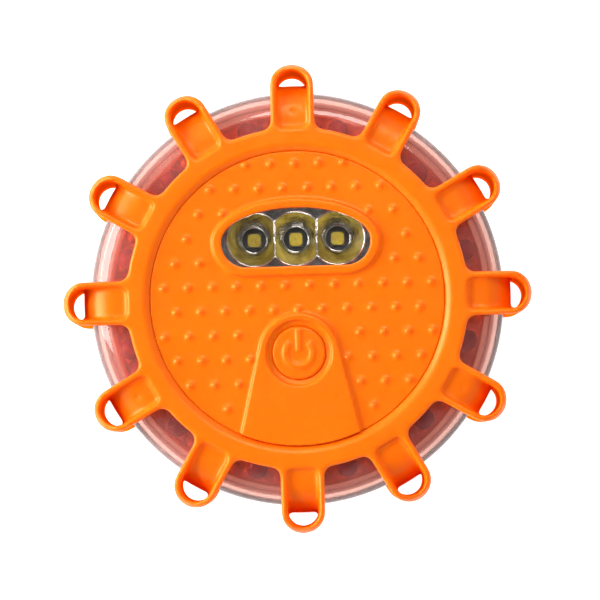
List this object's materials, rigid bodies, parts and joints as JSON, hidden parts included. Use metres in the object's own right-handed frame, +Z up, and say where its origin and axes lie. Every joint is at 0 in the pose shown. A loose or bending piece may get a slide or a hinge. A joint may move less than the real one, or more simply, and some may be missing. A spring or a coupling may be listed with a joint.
{
  "type": "led safety flare",
  "caption": "Round orange warning lamp with a clear body, open lugs all round its soft bumper, red edge lamps, white front lamps and a power button.",
  "frame": {"origin": "centre of the resting plane, on the axis of the round body", "axes": "+Z up out of the front face with the button and white lamps, +Y from the button towards the white lamps, +X to the right of that"},
  "size_m": [0.11, 0.11, 0.034],
  "materials": {
    "orange_rubber": "soft matte, moulded",
    "clear_plastic": "clear moulded plastic with a light red tint, gloss",
    "clear_pane": "clear moulded plastic, gloss",
    "chromed_plastic": "mirror, vacuum plated",
    "led_package": "satin",
    "phosphor": "smooth",
    "circuit_board": "solder mask",
    "lamp_board": "solder mask",
    "screw_steel": "zinc plated",
    "black_plastic": "moulded",
    "seal_rubber": "soft, translucent white",
    "red_lens": "clear red epoxy",
    "contact_steel": "nickel plated",
    "capacitor_sleeve": "shrink sleeve",
    "wire_cover": "PVC insulation",
    "base_plastic": "moulded, satin",
    "cell_jacket": "printed film",
    "magnet_plating": "nickel plated",
    "bail_wire": "drawn wire"
  },
  "bodies": {
    "case": {"bumper": "orange_rubber", "top_cover": "orange_rubber", "window_pane": "clear_pane", "reflector": "chromed_plastic", "white_leds": "led_package", "white_led_phosphors": "phosphor", "front_board": "lamp_board", "front_board_screws": "screw_steel", "tact_switch": "black_plastic", "upper_shell": "clear_plastic", "seal_ring": "seal_rubber", "lower_shell": "clear_plastic", "case_screws": "screw_steel", "main_board": "circuit_board", "main_board_screws": "screw_steel", "red_leds": "red_lens", "red_led_leads": "contact_steel", "controller_chip": "black_plastic", "resistors": "black_plastic", "capacitor": "capacitor_sleeve", "link_wires": "wire_cover", "base_plate": "base_plastic", "battery_tray": "black_plastic", "cells": "cell_jacket", "contact_springs": "contact_steel", "contact_plates": "contact_steel", "battery_door": "base_plastic", "door_seal": "seal_rubber", "door_screws": "screw_steel", "magnets": "magnet_plating"},
    "button": {"power_button": "orange_rubber", "switch_plunger": "led_package"},
    "bail": {"hanging_bail": "bail_wire"}
  },
  "joints": [
    {"name": "button_press", "type": "slide", "parent": "case", "child": "button", "axis": [0, 0, -1], "range_m": [0, 0.0008], "stiffness_N_per_m": 2000},
    {"name": "bail_fold", "type": "hinge", "parent": "case", "child": "bail", "pos_m": [0, 0, 0.0026], "axis": [-1, 0, 0], "range_deg": [0, 105]}
  ]
}
